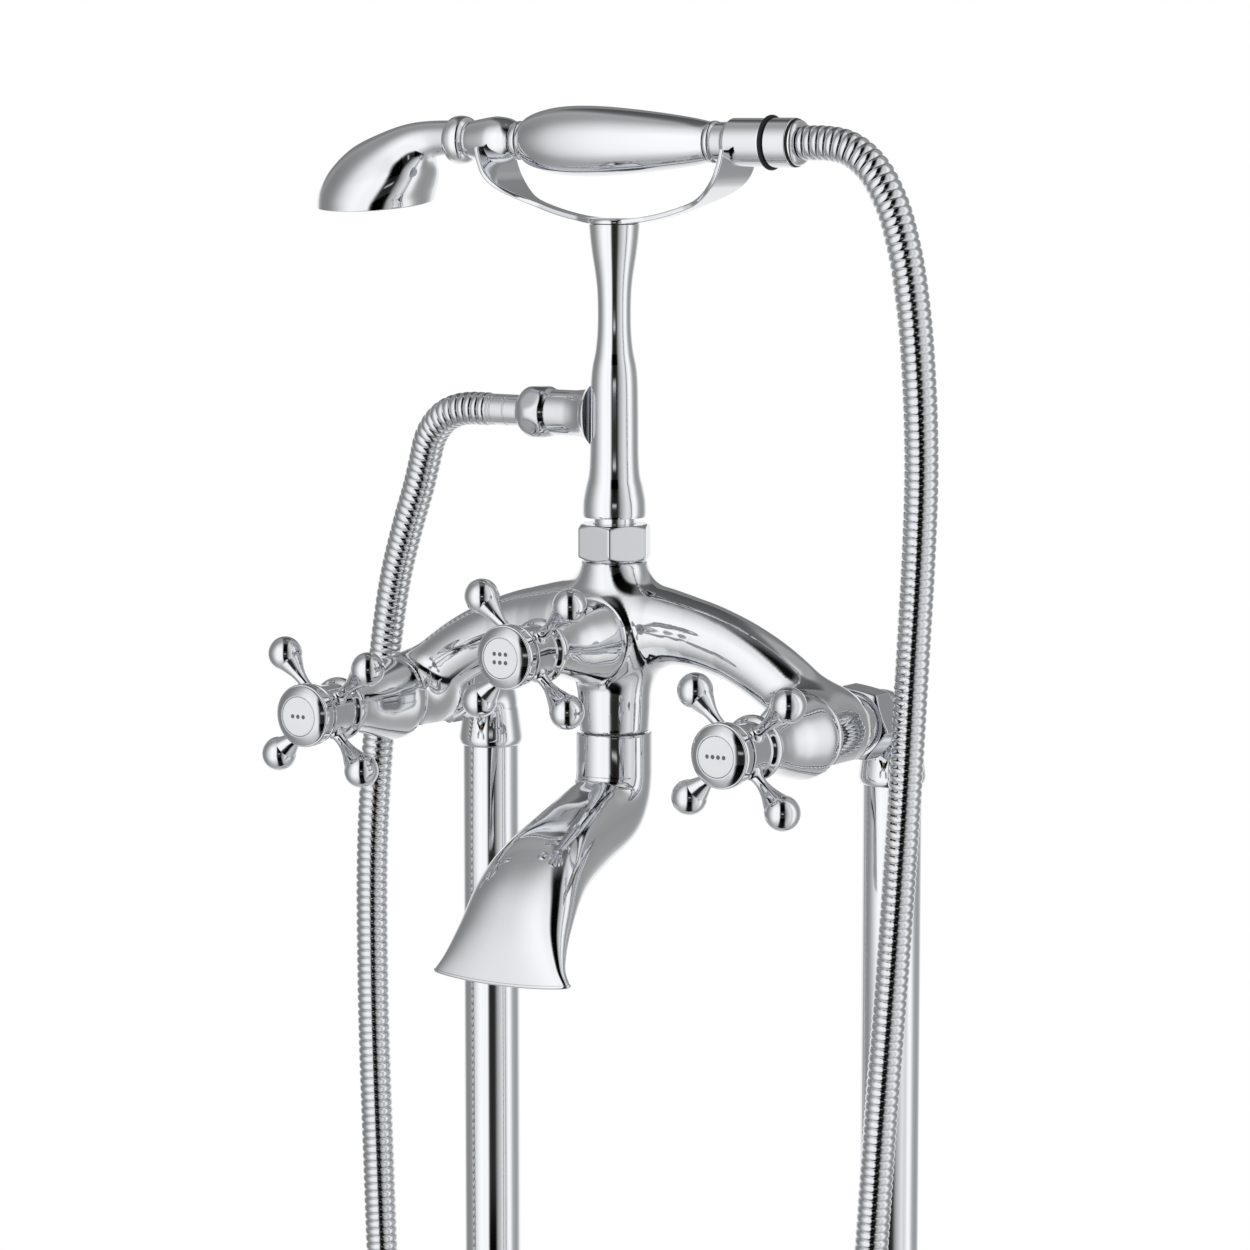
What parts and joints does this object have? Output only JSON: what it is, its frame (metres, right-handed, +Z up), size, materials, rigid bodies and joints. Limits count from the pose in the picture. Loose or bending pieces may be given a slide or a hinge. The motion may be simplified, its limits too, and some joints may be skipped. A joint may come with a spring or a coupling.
{
  "type": "freestanding faucet",
  "caption": "Freestanding bath faucet on floor legs, with a bridge body, cross handles, a fishtail spout, and a telephone handset in a cradle on a ribbed hose.",
  "frame": {"origin": "on the floor, midway between the axes of the two legs, in the plane that the floor plates rest on", "axes": "+Z up along the legs, +X to the user's right from the hot leg to the cold leg, -Y towards the user: the handles and the spout face -Y"},
  "size_m": [0.2643, 0.1609, 0.9629],
  "materials": {
    "chrome": "mirror-polished chrome plate on brass",
    "rubber": "matte black",
    "brass": "machined",
    "steel": "bright",
    "ceramic": "ground ceramic",
    "porcelain": "glazed white",
    "nylon": "moulded",
    "spray_plastic": "moulded",
    "hose_steel": "polished ribbed metal"
  },
  "bodies": {
    "stand": {"floor_plate_left": "chrome", "floor_plate_right": "chrome", "leg_left": "chrome", "leg_right": "chrome", "elbow_left": "chrome", "elbow_right": "chrome", "union_nut_left": "chrome", "union_nut_right": "chrome", "union_washers": "rubber", "check_valves": "nylon", "mixer_body": "chrome", "cartridge_hot": "brass", "cartridge_cold": "brass", "cartridge_diverter": "brass", "shroud_hot": "chrome", "shroud_cold": "chrome", "shroud_diverter": "chrome", "spout_bush": "nylon", "spout_screw": "steel", "column_nut": "chrome", "column_washer": "rubber", "column": "chrome", "cradle": "chrome", "cradle_screw": "steel", "hose_nut_outlet": "chrome", "outlet_washer": "rubber", "ferrule_outlet": "chrome", "hose": "hose_steel"},
    "handle_hot": {"handle_hot": "chrome", "spindle_hot": "brass", "ceramic_disc_hot": "ceramic", "handle_screw_hot": "steel", "index_hot": "porcelain"},
    "handle_cold": {"handle_cold": "chrome", "spindle_cold": "brass", "ceramic_disc_cold": "ceramic", "handle_screw_cold": "steel", "index_cold": "porcelain"},
    "handle_diverter": {"handle_diverter": "chrome", "spindle_diverter": "brass", "diverter_drum": "ceramic", "handle_screw_diverter": "steel", "index_diverter": "porcelain"},
    "spout": {"spout": "chrome", "spout_orings": "rubber", "flow_straightener": "nylon"},
    "handset": {"handset_head": "chrome", "spray_plate": "spray_plastic", "handset_collar": "chrome", "handset_neck": "chrome", "grip_rings": "chrome", "handset_grip": "chrome", "handset_tail": "chrome", "handset_seals": "rubber", "hose_nut_handset": "chrome"},
    "cover_left": {"floor_cover_left": "chrome", "cover_ring_left": "rubber"},
    "cover_right": {"floor_cover_right": "chrome", "cover_ring_right": "rubber"}
  },
  "joints": [
    {"name": "hot_turn", "type": "hinge", "parent": "stand", "child": "handle_hot", "pos_m": [-0.09, -0.05, 0.74], "axis": [0, -1, 0], "range_deg": [0, 90]},
    {"name": "cold_turn", "type": "hinge", "parent": "stand", "child": "handle_cold", "pos_m": [0.09, -0.05, 0.74], "axis": [0, 1, 0], "range_deg": [0, 90]},
    {"name": "diverter_turn", "type": "hinge", "parent": "stand", "child": "handle_diverter", "pos_m": [0, -0.05, 0.768], "axis": [0, -1, 0], "range_deg": [0, 90]},
    {"name": "spout_swivel", "type": "hinge", "parent": "stand", "child": "spout", "pos_m": [0, -0.05, 0.7325], "axis": [0, 0, 1], "range_deg": [-90, 90]},
    {"name": "handset_lift", "type": "slide", "parent": "stand", "child": "handset", "axis": [0, 0, 1], "range_m": [0, 0.06]},
    {"name": "cover_left_slide", "type": "slide", "parent": "stand", "child": "cover_left", "axis": [0, 0, 1], "range_m": [0, 0.12]},
    {"name": "cover_right_slide", "type": "slide", "parent": "stand", "child": "cover_right", "axis": [0, 0, 1], "range_m": [0, 0.12]}
  ]
}
